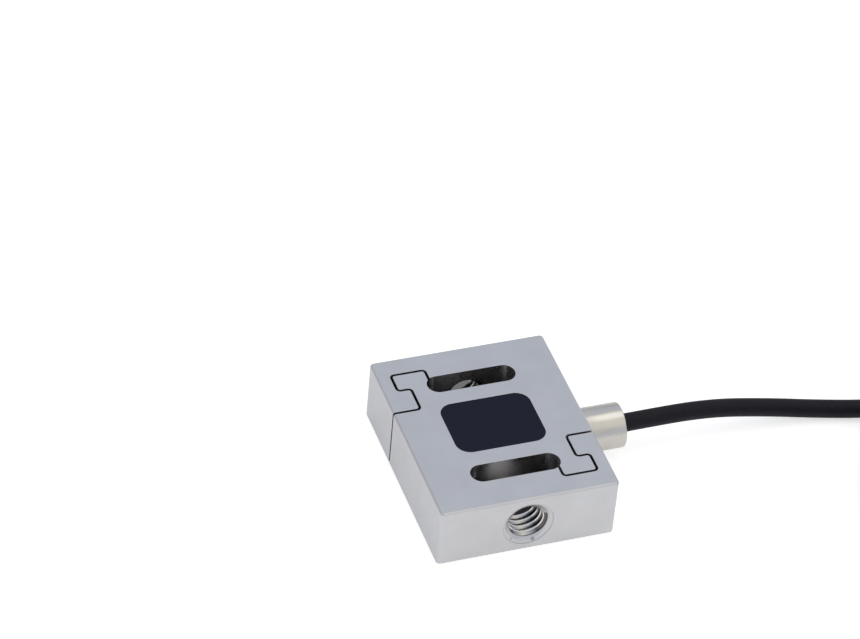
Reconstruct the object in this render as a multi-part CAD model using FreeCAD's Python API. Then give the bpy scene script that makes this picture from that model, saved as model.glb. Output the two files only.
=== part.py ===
import FreeCAD, Part
import math
import os

V = FreeCAD.Vector

# A miniature S-beam load cell that lies flat on its lower face, in millimetres.
# X points to the cable gland, Y along the load axis, Z through the thickness.
# The origin is the middle of the body's lower face.

# Load body: its length and width follow from the walls and openings across it
body_thickness = 6.4
window_length = 8.9      # along X
window_width = 6.85      # along Y
window_corner = 1.4
side_wall = 4.3          # from the window to each side face
beam_thickness = 1.78    # from the window to each slot
slot_length = 8.8
slot_width = 2.25
end_wall = 3.3           # from each slot to its end face
body_corner = 0.4        # radius of the upright edges
edge_break = 0.15        # chamfer along the upper and lower faces

# Hook-shaped gaps, from the end of a slot to the side of the body
gap_width = 0.25
gap_corner = 0.35        # radius along the middle of the gap
hook_entry = 0.44        # from the slot's end back to where the gap leaves the slot
hook_floor = 1.1         # from the slot out to the gap beyond it
hook_arm = 1.63          # from the slot's end to the neck of the hook
hook_tooth = 1.32        # from the neck to the tip of the hook

# Tapped load holes, as plain bores of the thread's outer diameter
thread_diameter = 4.0
sink_width = 0.5         # how far the countersink widens the mouth, all round
sink_depth = 0.35

# Window seals
seal_depth = 1.2
seal_recess = 0.04       # below the face of the body
bond_gap = 0.02          # round each poured piece

# Cable and its cores
cable_diameter = 1.8
core_diameter = 0.36
core_spacing = 0.56      # between the axes of neighbouring cores
core_clearance = 0.05    # round the bundle of cores
bend_share = 0.45        # share of a run that the arc at its end takes

# Cable gland
gland_diameter = 4.4
gland_length = 4.25      # outside the body
gland_rounding = 0.12
gland_mouth_break = 0.15
jacket_reach = 0.5       # how far the jacket goes in past the side face
cable_clearance = 0.05
spigot_diameter = 3.2
spigot_length = 1.5      # inside the body
spigot_clearance = 0.03

# Terminal board on the far wall of the window
board_thickness = 0.3
board_side_gap = 0.2     # to the rounded corners of the window
board_end_gap = 0.2      # to the window seals
pad_thickness = 0.06
core_pad_size = 0.46
lead_pad_size = 0.3
lead_pads_per_side = 4
pad_margin = 0.1         # from the lead pads to the edge of the board
resistor_length = 0.6
resistor_width = 0.3
resistor_height = 0.26
resistor_cap = 0.15      # length of each metal end
resistor_cap_step = 0.02
resistor_gap = 0.15      # from the core pads

# Strain gauges on the two long walls of the window
gauge_thickness = 0.06
gauge_mid_gap = 0.3      # between the two gauges of a wall
gauge_end_gap = 0.15     # to the rounded corner of the window
foil_thickness = 0.05
foil_margin = 0.1
strand_width = 0.11
strand_gap = 0.09
tab_length = 0.6
tab_gap = 0.3            # between the two tabs of a gauge

# Gauge leads and solder joints
lead_diameter = 0.12
lead_rise = 0.5          # straight off the gauge
lead_reach = 0.6         # straight on to the board
joint_height = 0.1
joint_spread = 0.04      # how much wider a joint is at its foot

# Put-away coil of cable
coil_mid_radius = 11.1
coil_turns_across = 5
coil_layers = 4
coil_ahead = 36.0        # from the gland's mouth to the coil's centre
coil_aside = 17.0        # from the gland's axis to the coil's centre
tie_thickness = 0.4
tie_width = 3.0
tie_tab_length = 6.0

# Far end of the cable
sleeve_wall = 0.2
sleeve_grip = 3.5        # length on the jacket
sleeve_reach = 4.0       # length past the jacket's end
lead_straight = 2.0      # from the sleeve to where the leads part
shield_diameter = 0.3
tip_diameter = 0.22
tip_length = 4.0

# Places that follow from the sizes
body_length = window_width + 2 * (beam_thickness + slot_width + end_wall)
body_width = window_length + 2 * side_wall
end_face = body_length / 2
side_face = body_width / 2
mid_height = body_thickness / 2
slot_offset = window_width / 2 + beam_thickness + slot_width / 2
window_side = window_length / 2
window_end = window_width / 2
gland_mouth = side_face + gland_length
jacket_end = side_face - jacket_reach
spigot_end = side_face - spigot_length
core_hole_radius = (math.sqrt(2) * core_spacing + core_diameter) / 2 + core_clearance
board_width = window_width - 2 * (window_corner + board_side_gap)
board_height = body_thickness - 2 * (seal_depth + board_end_gap)
board_face = -window_side + board_thickness
pad_face = board_face + pad_thickness
lead_column = board_width / 2 - pad_margin - lead_pad_size / 2
lead_outer_level = board_height / 2 - pad_margin - lead_pad_size / 2
lead_inner_level = lead_outer_level - 2 * lead_outer_level / (lead_pads_per_side - 1)
gauge_inner_x = gauge_mid_gap / 2
gauge_outer_x = window_side - window_corner - gauge_end_gap
foil_face = window_end - gauge_thickness - foil_thickness
tab_middle_x = gauge_inner_x + foil_margin + tab_length / 2
cable_radius = cable_diameter / 2
core_radius = core_diameter / 2
coil_centre = V(gland_mouth + coil_ahead, -coil_aside, 0)
coil_outer_turn = coil_mid_radius + (coil_turns_across - 1) / 2 * cable_diameter
coil_top_turn = (coil_layers - 0.5) * cable_diameter
sleeve_bore_radius = cable_radius + cable_clearance
sleeve_radius = sleeve_bore_radius + sleeve_wall
core_places = [(-1, -1), (-1, 1), (1, 1), (1, -1)]
core_colours = ["red", "black", "green", "white"]

# Route of the cable from inside the gland to the coil, as offsets from the gland's mouth
cable_route = [V(gland_mouth, 0, 0) + point for point in (
    V(jacket_end - gland_mouth, 0, mid_height),
    V(2.2, 0, mid_height),
    V(9.3, 0.2, 2.9),
    V(15.5, 0.3, 1.75),
    V(20.5, -0.2, cable_radius),
    V(25.5, -1.5, cable_radius),
    V(30.8, -2.2, cable_radius),
    V(coil_ahead, coil_outer_turn - coil_aside, cable_radius),
)]

# Route of the tail, from the top of the coil round its outside to the far end
tail_route = [coil_centre + point for point in (
    V(0, coil_outer_turn, coil_top_turn),
    V(10.5, 14.2, 6.1),
    V(16.9, 5.6, 4.9),
    V(16.6, -5.8, 3.3),
    V(10.4, -14.3, 1.9),
    V(0.2, -17.2, sleeve_radius),
    V(-9.0, -17.3, sleeve_radius),
    V(-17.0, -17.3, sleeve_radius),
)]

# Routes of the flying leads past their sleeve, as offsets from the jacket's end
lead_routes = {
    "red": [V(-14, -1.0, 0), V(-21.5, -2.1, 0), V(-28, -2.4, 0)],
    "black": [V(-14.5, -0.2, 0), V(-22.5, -0.5, 0), V(-30, -1.1, 0)],
    "green": [V(-14, 1.2, 0), V(-22, 2.0, 0), V(-29.5, 1.8, 0)],
    "white": [V(-13.5, 2.4, 0), V(-20.5, 4.6, 0), V(-27, 5.2, 0)],
}
shield_route = [V(-14.2, 0.5, 0), V(-20, 0.9, 0), V(-24.5, 0.7, 0)]


def box(low, high):
    """A box between two corners."""
    size = high - low
    return Part.makeBox(size.x, size.y, size.z, low)


def rounded_plate(length, width, corner, low, high):
    """A plate centred on Z with rounded upright edges, between two heights."""
    plate = box(V(-length / 2, -width / 2, low), V(length / 2, width / 2, high))
    upright = [edge for edge in plate.Edges if edge.Vertexes[0].Z != edge.Vertexes[1].Z]
    return plate.makeFillet(corner, upright)


def obround(length, width, centre_y, low, high):
    """A slot shape along X: a box between two round ends."""
    run = (length - width) / 2
    middle = box(V(-run, centre_y - width / 2, low), V(run, centre_y + width / 2, high))
    ends = [Part.makeCylinder(width / 2, high - low, V(x, centre_y, low)) for x in (-run, run)]
    return middle.fuse(ends).removeSplitter()


def round_edges(shape):
    """The circles among the edges of a shape."""
    return [edge for edge in shape.Edges if isinstance(edge.Curve, Part.Circle)]


def corner_arc(before, corner, after, radius):
    """The tangent arc that rounds a corner of a route, with its two end points."""
    arriving = (corner - before).normalize()
    leaving = (after - corner).normalize()
    half_turn = arriving.getAngle(leaving) / 2
    inward = (leaving - arriving).normalize()
    start = corner - arriving * (radius * math.tan(half_turn))
    end = corner + leaving * (radius * math.tan(half_turn))
    middle = corner + inward * (radius / math.cos(half_turn) - radius)
    return start, Part.Arc(start, middle, end).toShape(), end


def largest_radius(before, corner, after):
    """The radius of the arc that takes its full share of the shorter run at a corner."""
    shorter = min((corner - before).Length, (after - corner).Length)
    half_turn = (corner - before).getAngle(after - corner) / 2
    return bend_share * shorter / math.tan(half_turn)


def rounded_route(points, radius=None):
    """A wire of straight runs joined by tangent arcs, and the radii of its arcs."""
    edges = []
    radii = []
    start = points[0]
    for before, corner, after in zip(points, points[1:], points[2:]):
        bend = radius or largest_radius(before, corner, after)
        arc_start, arc, arc_end = corner_arc(before, corner, after, bend)
        edges.append(Part.LineSegment(start, arc_start).toShape())
        edges.append(arc)
        radii.append(bend)
        start = arc_end
    edges.append(Part.LineSegment(start, points[-1]).toShape())
    return Part.Wire(edges), radii


def tube(points, radius):
    """A round solid along a route."""
    path, radii = rounded_route(points)
    ring = Part.Wire(Part.makeCircle(radius, points[0], points[1] - points[0]))
    return path.makePipeShell([ring], True, False), path.Length, radii


def print_tube(name, solid, length, radii, radius):
    """Prints a tube's bend radii, and its volume against its section times its length."""
    share = solid.Volume / (math.pi * radius ** 2 * length)
    print(name, "length", round(length, 2), "volume share", round(share, 4),
          "radii", [round(bend, 1) for bend in radii])


def turned_half(shape):
    """The shape turned half a turn about the middle of the body."""
    turned = shape.copy()
    turned.rotate(V(0, 0, 0), V(0, 0, 1), 180)
    return turned


def hook_gap():
    """The gap from the front slot to the right side of the body, as a solid to cut away."""
    slot_end = slot_length / 2
    entry = slot_end - hook_entry
    neck = slot_end + hook_arm
    tip = neck + hook_tooth
    floor = -(slot_offset + slot_width / 2 + hook_floor)
    middle_line = [
        V(entry, -slot_offset, 0),
        V(entry, floor, 0),
        V(tip, floor, 0),
        V(tip, -slot_offset, 0),
        V(neck, -slot_offset, 0),
        V(neck, -window_end, 0),
        V(side_face + gap_width, -window_end, 0),
    ]
    path = rounded_route(middle_line, gap_corner)[0]
    past_face = V(0, 0, gap_width)
    across = V(gap_width / 2, 0, 0)
    low = middle_line[0] - past_face
    high = middle_line[0] + V(0, 0, body_thickness) + past_face
    profile = Part.makePolygon([low - across, low + across, high + across, high - across, low - across])
    return path.makePipeShell([profile], True, False)


def tapped_hole():
    """The front load hole, from the end face to the slot, with its countersink."""
    mouth = V(0, -end_face, mid_height)
    inward = V(0, 1, 0)
    radius = thread_diameter / 2
    bore = Part.makeCylinder(radius, end_wall + slot_width / 2, mouth, inward)
    sink = Part.makeCone(radius + sink_width, radius, sink_depth, mouth, inward)
    return bore.fuse(sink)


def load_body():
    """The one-piece spring body."""
    block = rounded_plate(body_width, body_length, body_corner, 0, body_thickness)
    level = [edge for edge in block.Edges if edge.Vertexes[0].Z == edge.Vertexes[1].Z]
    block = block.makeChamfer(edge_break, level)
    window = rounded_plate(window_length, window_width, window_corner, 0, body_thickness)
    slot = obround(slot_length, slot_width, -slot_offset, 0, body_thickness)
    inward = V(-1, 0, 0)
    gland_seat = Part.makeCylinder(spigot_diameter / 2 + spigot_clearance, spigot_length,
                                   V(side_face, 0, mid_height), inward)
    passage = Part.makeCylinder(core_hole_radius, side_face, V(side_face, 0, mid_height), inward)
    cuts = [window, gland_seat, passage]
    for cut in (slot, hook_gap(), tapped_hole()):
        cuts += [cut, turned_half(cut)]
    return block.cut(cuts)


def window_seal(low, high):
    """A poured black plug that closes the window at one face."""
    corner = window_corner - bond_gap
    return rounded_plate(window_length - 2 * bond_gap, window_width - 2 * bond_gap, corner, low, high)


def cable_gland():
    """The round ferrule, with its spigot in the body and its bore for the cable."""
    outward = V(1, 0, 0)
    base = V(side_face, 0, mid_height)
    barrel = Part.makeCylinder(gland_diameter / 2, gland_length, base, outward)
    rim = [edge for edge in round_edges(barrel) if edge.Curve.Center.x > side_face + gland_length / 2]
    barrel = barrel.makeFillet(gland_rounding, rim)
    spigot = Part.makeCylinder(spigot_diameter / 2, spigot_length, V(spigot_end, 0, mid_height), outward)
    bore_radius = cable_radius + cable_clearance
    bore = Part.makeCylinder(bore_radius, gland_mouth - jacket_end, V(jacket_end, 0, mid_height), outward)
    core_hole = Part.makeCylinder(core_hole_radius, jacket_end - spigot_end,
                                  V(spigot_end, 0, mid_height), outward)
    mouth = Part.makeCone(bore_radius, bore_radius + gland_mouth_break, gland_mouth_break,
                          V(gland_mouth - gland_mouth_break, 0, mid_height), outward)
    return barrel.fuse(spigot).cut([bore, core_hole, mouth]).removeSplitter()


def core_axis(place, x):
    """A point on the axis of one core."""
    return V(x, place[0] * core_spacing / 2, mid_height + place[1] * core_spacing / 2)


def cable_core(place):
    """One insulated core, from the end of the jacket to its solder joint on the board."""
    end = pad_face + joint_height
    return Part.makeCylinder(core_radius, jacket_end - end, core_axis(place, end), V(1, 0, 0))


def gland_potting():
    """The resin round the cores inside the gland."""
    length = jacket_end - spigot_end
    plug = Part.makeCylinder(core_hole_radius - bond_gap, length, V(spigot_end, 0, mid_height), V(1, 0, 0))
    holes = [Part.makeCylinder(core_radius + bond_gap, length, core_axis(place, spigot_end), V(1, 0, 0))
             for place in core_places]
    return plug.cut(holes)


def terminal_board():
    """The board that carries the pads, on the wall of the window across from the gland."""
    return box(V(-window_side, -board_width / 2, mid_height - board_height / 2),
               V(board_face, board_width / 2, mid_height + board_height / 2))


def lead_pad_places():
    """The middle of each gauge lead's pad, across and up the board."""
    levels = (-lead_outer_level, -lead_inner_level, lead_inner_level, lead_outer_level)
    return [(side * lead_column, level) for side in (-1, 1) for level in levels]


def core_pad_places():
    """The middle of each core's pad, across and up the board."""
    return [(place[0] * core_spacing / 2, place[1] * core_spacing / 2) for place in core_places]


def board_pads():
    """All the copper pads of the board."""
    thickness = V(pad_thickness, 0, 0)
    pads = []
    for places, size in ((core_pad_places(), core_pad_size), (lead_pad_places(), lead_pad_size)):
        reach = V(0, size / 2, size / 2)
        for across, level in places:
            middle = V(board_face, across, mid_height + level)
            pads.append(box(middle - reach, middle + reach + thickness))
    return Part.makeCompound(pads)


def solder_joint(foot, outward, wire_radius):
    """A small cone of solder between a pad and the end of a wire."""
    return Part.makeCone(wire_radius + joint_spread, wire_radius, joint_height, foot, outward)


def board_solder():
    """The solder joints on the board."""
    joints = []
    for places, radius in ((core_pad_places(), core_radius), (lead_pad_places(), lead_diameter / 2)):
        for across, level in places:
            joints.append(solder_joint(V(pad_face, across, mid_height + level), V(1, 0, 0), radius))
    return Part.makeCompound(joints)


def chip_resistor(side):
    """A chip resistor on the board, above or below the core pads."""
    level = mid_height + side * (core_spacing / 2 + core_pad_size / 2 + resistor_gap + resistor_width / 2)
    half = V(0, resistor_length / 2, resistor_width / 2)
    seat = V(board_face, 0, level)
    chip = box(seat - half, seat + half + V(resistor_height, 0, 0))
    step = V(0, 0, resistor_cap_step)
    caps = []
    for end in (-1, 1):
        low = seat + V(0, end * (resistor_length - resistor_cap) / 2, 0)
        reach = V(0, resistor_cap / 2, resistor_width / 2)
        rise = V(resistor_height + resistor_cap_step, 0, 0)
        caps.append(box(low - reach - step, low + reach + step + rise))
    return chip.fuse(caps).removeSplitter()


def placed_gauge(piece, side, wall):
    """Mirrors a piece modelled at the rear right gauge to another gauge's place."""
    placed = piece
    if side < 0:
        placed = placed.mirror(V(0, 0, 0), V(1, 0, 0))
    if wall < 0:
        placed = placed.mirror(V(0, 0, 0), V(0, 1, 0))
    return placed


def gauge_backing():
    """The film of the rear right gauge, bonded to the window's wall."""
    return box(V(gauge_inner_x, window_end - gauge_thickness, mid_height - board_height / 2),
               V(gauge_outer_x, window_end, mid_height + board_height / 2))


def gauge_foil():
    """The foil of the rear right gauge: a folded strand with a tab at each end."""
    half_height = board_height / 2 - foil_margin
    pitch = strand_width + strand_gap
    pairs = int((2 * half_height + strand_gap) / pitch) // 2
    inner = gauge_inner_x + foil_margin
    strand_start = inner + tab_length + strand_gap
    strand_end = gauge_outer_x - foil_margin
    bottom = -(2 * pairs * pitch - strand_gap) / 2

    def patch(x_low, x_high, z_low, z_high):
        return box(V(x_low, foil_face, mid_height + z_low),
                   V(x_high, foil_face + foil_thickness, mid_height + z_high))

    pieces = []
    for index in range(2 * pairs):
        low = bottom + index * pitch
        first = index == 0
        last = index == 2 * pairs - 1
        start = inner if first or last else strand_start
        pieces.append(patch(start, strand_end, low, low + strand_width))
        if last:
            continue
        x_low = strand_end - strand_width if index % 2 == 0 else strand_start
        pieces.append(patch(x_low, x_low + strand_width, low, low + pitch + strand_width))
    pieces.append(patch(inner, inner + tab_length, -half_height, -tab_gap / 2))
    pieces.append(patch(inner, inner + tab_length, tab_gap / 2, half_height))
    return pieces[0].fuse(pieces[1:]).removeSplitter()


def gauge_levels(side):
    """Heights above the middle of the two leads of a gauge on one side."""
    level = lead_outer_level if side < 0 else lead_inner_level
    return (-level, level)


def gauge_leads(side, wall):
    """The two fine leads of one gauge, each level from its tab to its pad."""
    wires = []
    tab = V(side * tab_middle_x, wall * (foil_face - joint_height), 0)
    pad = V(pad_face + joint_height, wall * lead_column, 0)
    for level in gauge_levels(side):
        up = V(0, 0, mid_height + level)
        route = [
            tab + up,
            tab + V(0, -wall * lead_rise, 0) + up,
            pad + V(lead_reach, 0, 0) + up,
            pad + up,
        ]
        wires.append(tube(route, lead_diameter / 2)[0])
    return Part.makeCompound(wires)


def gauge_solder():
    """The solder joints on the tabs of the gauges."""
    joints = []
    for side in (-1, 1):
        for wall in (-1, 1):
            for level in gauge_levels(side):
                foot = V(side * tab_middle_x, wall * foil_face, mid_height + level)
                joints.append(solder_joint(foot, V(0, -wall, 0), lead_diameter / 2))
    return Part.makeCompound(joints)


def coil_ring(inset):
    """The outer shape of the coil's turns, made smaller all round by an inset."""
    half_width = coil_turns_across * cable_diameter / 2 - inset
    height = coil_layers * cable_diameter - 2 * inset
    base = coil_centre + V(0, 0, inset)
    ring = Part.makeCylinder(coil_mid_radius + half_width, height, base)
    ring = ring.cut(Part.makeCylinder(coil_mid_radius - half_width, height, base))
    return ring.makeFillet(cable_radius - inset, round_edges(ring))


def coil_tie():
    """The strap round the coil's turns, on the side towards the body, with its end on top."""
    height = coil_layers * cable_diameter
    span = box(coil_centre - V(2 * coil_mid_radius, tie_width / 2, 0),
               coil_centre + V(0, tie_width / 2, height))
    inside = coil_ring(tie_thickness)
    strap = coil_ring(0).cut(inside).common(span)
    top = coil_centre + V(-coil_mid_radius, 0, height)
    reach = V(tie_tab_length / 2, tie_width / 2, tie_thickness)
    tab = box(top - reach, top + reach).cut(inside)
    return strap.fuse(tab).removeSplitter()


def cable_coil(others):
    """The outer shape of the coil, less the tie and the two ends of cable that leave it."""
    return coil_ring(0).cut(others)


def tail_sleeve():
    """The heat-shrink sleeve over the end of the jacket and the start of the leads."""
    start = tail_route[-1] + V(sleeve_grip, 0, 0)
    length = sleeve_grip + sleeve_reach
    outside = Part.makeCylinder(sleeve_radius, length, start, V(-1, 0, 0))
    return outside.cut(Part.makeCylinder(sleeve_bore_radius, length, start, V(-1, 0, 0)))


def lead_points(place, points, radius):
    """The route of one wire from the end of the jacket down to the surface."""
    end = tail_route[-1]
    aside = V(0, place[0] * core_spacing / 2, place[1] * core_spacing / 2)
    floor = V(end.x, end.y, radius)
    parting = end + aside - V(sleeve_reach + lead_straight, 0, 0)
    return [end + aside, parting] + [floor + point for point in points]


def lead_tip(points):
    """The tinned end of one lead."""
    direction = (points[-1] - points[-2]).normalize()
    return Part.makeCylinder(tip_diameter / 2, tip_length, points[-1], direction)


def build():
    """All the pieces, by name."""
    pieces = {
        "load_body": load_body(),
        "window_seal_top": window_seal(body_thickness - seal_depth, body_thickness - seal_recess),
        "window_seal_bottom": window_seal(seal_recess, seal_depth),
        "cable_gland": cable_gland(),
        "gland_potting": gland_potting(),
        "terminal_board": terminal_board(),
        "board_pads": board_pads(),
        "board_solder": board_solder(),
        "balance_resistor": chip_resistor(1),
        "span_resistor": chip_resistor(-1),
        "gauge_solder": gauge_solder(),
        "coil_tie": coil_tie(),
        "tail_sleeve": tail_sleeve(),
    }
    for side, side_name in ((-1, "left"), (1, "right")):
        for wall, wall_name in ((-1, "front"), (1, "rear")):
            name = wall_name + "_" + side_name
            pieces["gauge_backing_" + name] = placed_gauge(gauge_backing(), side, wall)
            pieces["gauge_foil_" + name] = placed_gauge(gauge_foil(), side, wall)
            pieces["gauge_leads_" + name] = gauge_leads(side, wall)

    tips = []
    for place, colour in zip(core_places, core_colours):
        pieces["core_" + colour] = cable_core(place)
        points = lead_points(place, lead_routes[colour], core_radius)
        solid, length, radii = tube(points, core_radius)
        print_tube("lead_" + colour, solid, length, radii, core_radius)
        pieces["lead_" + colour] = solid
        tips.append(lead_tip(points))
    pieces["lead_tips"] = Part.makeCompound(tips)

    shield_radius = shield_diameter / 2
    routes = (
        ("shield_wire", lead_points((0, 0), shield_route, shield_radius), shield_radius),
        ("signal_cable", cable_route, cable_radius),
        ("cable_tail", tail_route, cable_radius),
    )
    for name, points, radius in routes:
        pieces[name], length, radii = tube(points, radius)
        print_tube(name, pieces[name], length, radii, radius)
    pieces["cable_coil"] = cable_coil([pieces[name] for name in ("coil_tie", "signal_cable", "cable_tail")])
    return pieces


os.makedirs("parts", exist_ok=True)
for node, shape in build().items():
    shape.exportStep("parts/" + node + ".step")
    print(node, "valid" if shape.isValid() else "NOT VALID", len(shape.Solids), round(shape.Volume, 4))
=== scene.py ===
import math

import bpy
from bpy.props import FloatProperty, FloatVectorProperty, IntProperty, PointerProperty
from bpy.types import Operator, Panel, PropertyGroup
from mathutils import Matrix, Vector


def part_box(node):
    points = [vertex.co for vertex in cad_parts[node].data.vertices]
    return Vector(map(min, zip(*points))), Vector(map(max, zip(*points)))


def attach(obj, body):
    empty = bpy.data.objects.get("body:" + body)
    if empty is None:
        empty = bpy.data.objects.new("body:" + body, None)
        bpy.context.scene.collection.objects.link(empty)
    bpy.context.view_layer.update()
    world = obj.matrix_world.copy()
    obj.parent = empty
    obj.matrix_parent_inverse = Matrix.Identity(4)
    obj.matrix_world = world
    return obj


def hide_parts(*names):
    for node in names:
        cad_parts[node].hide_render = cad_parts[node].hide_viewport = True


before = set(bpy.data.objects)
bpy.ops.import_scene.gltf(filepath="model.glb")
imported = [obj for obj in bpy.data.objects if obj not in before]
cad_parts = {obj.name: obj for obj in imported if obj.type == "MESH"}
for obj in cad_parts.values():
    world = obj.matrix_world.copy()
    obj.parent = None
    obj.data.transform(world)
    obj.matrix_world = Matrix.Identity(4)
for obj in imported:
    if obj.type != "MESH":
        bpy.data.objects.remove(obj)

bl_info = {
    "name": "Miniature S-beam load cell",
    "version": (1, 0, 0),
    "blender": (4, 5, 0),
    "location": "3D View > Sidebar > Load Cell",
    "description": "Models and finishes a miniature S-beam load cell with its cable, on its solid parts",
    "category": "Mesh",
}

MM = 0.001
UP = Vector((0, 0, 1))
AHEAD = Vector((1, 0, 0))
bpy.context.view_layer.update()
BODY_LOW, BODY_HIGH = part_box("load_body")
GLAND_LOW, GLAND_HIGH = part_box("cable_gland")
SLEEVE_LOW, SLEEVE_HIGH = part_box("tail_sleeve")
SLEEVE_MIDDLE = (SLEEVE_LOW + SLEEVE_HIGH) / 2
AXIS_HEIGHT = (BODY_LOW.z + BODY_HIGH.z) / 2
GLAND_MOUTH = Vector((GLAND_HIGH.x, 0, AXIS_HEIGHT))
COIL_CENTRE = Vector((GLAND_MOUTH.x + 36.0 * MM, -17.0 * MM, 0))

# What counts as one point, as one place, and as pointing along, across or steeply
MERGED = 0.0005 * MM
SAME_PLACE = 0.001 * MM
SAME_FACE = 0.02 * MM
ALONG = 0.9
ACROSS = 0.1
STEEP = 0.3

# Where most values of a pattern lie, and the share of its colour that a chip keeps
PATTERN_RANGE = (0.3, 0.7)
CHIP_SHADE = 0.3

# The floor lies a hair under the body, and has painted shade under it and a painted soft shadow behind
# it
FLOOR_DROP = 0.02 * MM
SHADE_INSET = 0.8 * MM
SHADE_LIGHT = 0.15
SHADOW_FADE = (1.8 * MM, 6.2 * MM)
SHADOW_SIDES = (BODY_HIGH.x - 3.5 * MM, BODY_HIGH.x - 0.3 * MM)
SHADOW_LEAN = 0.335
SHADOW_DEPTH = 0.9

# The share of its glow in reflections that the floor keeps at the back, and the lamp's distance
GLOW_AT_BACK = 0.7
LAMP_DISTANCE = 0.5

# Corners of one gap, from its slot to the body's side, in millimetres from the body's middle
GAP_CORNERS = ((3.96, -6.33), (3.96, -8.555), (7.35, -8.555), (7.35, -6.33),
               (6.03, -6.33), (6.03, -3.425), (9.75, -3.425))

# How wide the thread's ridge is at its root and its crest, as shares of its pitch
ROOT_SHARE = 0.9
CREST_SHARE = 0.1

# Each lead's side of the bundle, and its points past the jacket's end in millimetres
LEAD_SPREAD = 0.28 * MM
LEAD_ROUTES = {
    "red": ((-1, -1), ((-14.0, -1.0), (-21.5, -2.1), (-28.0, -2.4))),
    "black": ((-1, 1), ((-14.5, -0.2), (-22.5, -0.5), (-30.0, -1.1))),
    "green": ((1, 1), ((-14.0, 1.2), (-22.0, 2.0), (-29.5, 1.8))),
    "white": ((1, -1), ((-13.5, 2.4), (-20.5, 4.6), (-27.0, 5.2))),
}
SHIELD_ROUTE = ((-14.2, 0.5), (-20.0, 0.9), (-24.5, 0.7))
JACKET_STOP = Vector((COIL_CENTRE.x - 17.0 * MM, SLEEVE_MIDDLE.y, SLEEVE_MIDDLE.z))


# Properties

def number_prop(name, description, value, **settings):
    """A number that a user may change."""
    return FloatProperty(name=name, description=description, default=value, **settings)


def vector_prop(name, description, values, **settings):
    """Three numbers that a user may change."""
    return FloatVectorProperty(name=name, description=description, default=values, size=3, **settings)


def length_prop(name, description, millimetres):
    """A length, given here in millimetres."""
    return number_prop(name, description, millimetres * MM, unit="LENGTH", precision=5)


def colour_prop(name, description, colour):
    """A colour, as its red, green and blue."""
    return vector_prop(name, description, colour, subtype="COLOR", min=0.0, max=1.0)


class StageSettings(PropertyGroup):
    """Camera, floor and light."""

    camera_place: vector_prop(
        "Camera place", "Where the camera stands", (-112.208 * MM, -259.599 * MM, 262.946 * MM),
        subtype="TRANSLATION", unit="LENGTH")
    camera_turn: vector_prop(
        "Camera turn", "How the camera is turned",
        [math.radians(angle) for angle in (49.01587, -3.99390, -18.53920)],
        subtype="EULER", unit="ROTATION")
    camera_lens: number_prop("Camera lens", "Focal length on a 36 mm sensor", 170.44, unit="CAMERA")
    floor_size: length_prop("Floor size", "Side of the square floor", 6000.0)
    floor_glow: number_prop("Floor glow", "How much the floor is lightened where it is seen", 0.62)
    mirror_glow: number_prop("Mirror glow", "How much the floor is lightened in reflections", 0.48)
    lamp_size: length_prop("Lamp size", "Side of the square soft lamp overhead", 260.0)
    lamp_power: number_prop("Lamp power", "Power of the soft lamp overhead", 0.14, unit="POWER")
    lamp_way: vector_prop(
        "Lamp direction", "From the object to the lamp", (0.28, 0.08, 0.955), subtype="DIRECTION")
    studio_way: vector_prop(
        "Studio direction", "From the object to the brightest part of the studio",
        (0.28, -0.30, 0.91), subtype="DIRECTION")
    floor_colour: colour_prop("Floor colour", "Colour of the floor", (0.70, 0.69, 0.68))
    dim_colour: colour_prop("Dim side", "Light from the studio's far walls", (0.60, 0.605, 0.62))
    wall_colour: colour_prop("Walls", "Light from the studio's walls", (0.685, 0.75, 0.895))
    upper_colour: colour_prop("Upper walls", "Light from above the walls", (0.73, 0.725, 0.71))
    canopy_colour: colour_prop("Canopy", "Light from round the lamp", (1.0, 0.98, 0.94))
    ceiling_colour: colour_prop("Ceiling", "Light from beside the lamp", (1.0, 0.99, 0.95))


class BodySizes(PropertyGroup):
    """Sizes of the one-piece spring body and what is set into it."""

    body_corner: length_prop("Body corner", "Radius of the block's upright edges", 0.4)
    edge_break: length_prop("Edge break", "Chamfer along the upper and lower faces", 0.15)
    edge_softness: length_prop("Edge softness", "Rounding of the other edges", 0.03)
    window_length: length_prop("Window length", "Window across the body", 8.9)
    window_width: length_prop("Window width", "Window along the load axis", 6.85)
    window_corner: length_prop("Window corner", "Radius of the window's corners", 1.4)
    slot_length: length_prop("Slot length", "Length of each round-ended slot", 8.8)
    slot_width: length_prop("Slot width", "Width of each round-ended slot", 2.25)
    slot_offset: length_prop("Slot offset", "From the body's middle to a slot's middle", 6.33)
    gap_width: length_prop("Gap width", "Width of the wire-cut gap", 0.25)
    gap_corner: length_prop("Gap corner", "Radius of the gap's corners", 0.35)
    thread_radius: length_prop("Thread radius", "Radius at the root of the thread", 2.0)
    thread_crest: length_prop("Thread crest", "Radius at the crest of the thread", 1.64)
    thread_pitch: length_prop("Thread pitch", "From one thread crest to the next", 0.7)
    sink_width: length_prop("Countersink width", "From the thread's root to the countersink's rim", 0.5)
    sink_depth: length_prop("Countersink depth", "Depth of the countersink", 0.35)
    seat_radius: length_prop("Seat radius", "Radius of the gland's seat", 1.63)
    seat_depth: length_prop("Seat depth", "Depth of the gland's seat", 1.5)
    passage_radius: length_prop("Passage radius", "Radius of the hole for the cores", 0.626)
    seal_clearance: length_prop("Seal clearance", "Gap between a seal and the window", 0.02)


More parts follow.
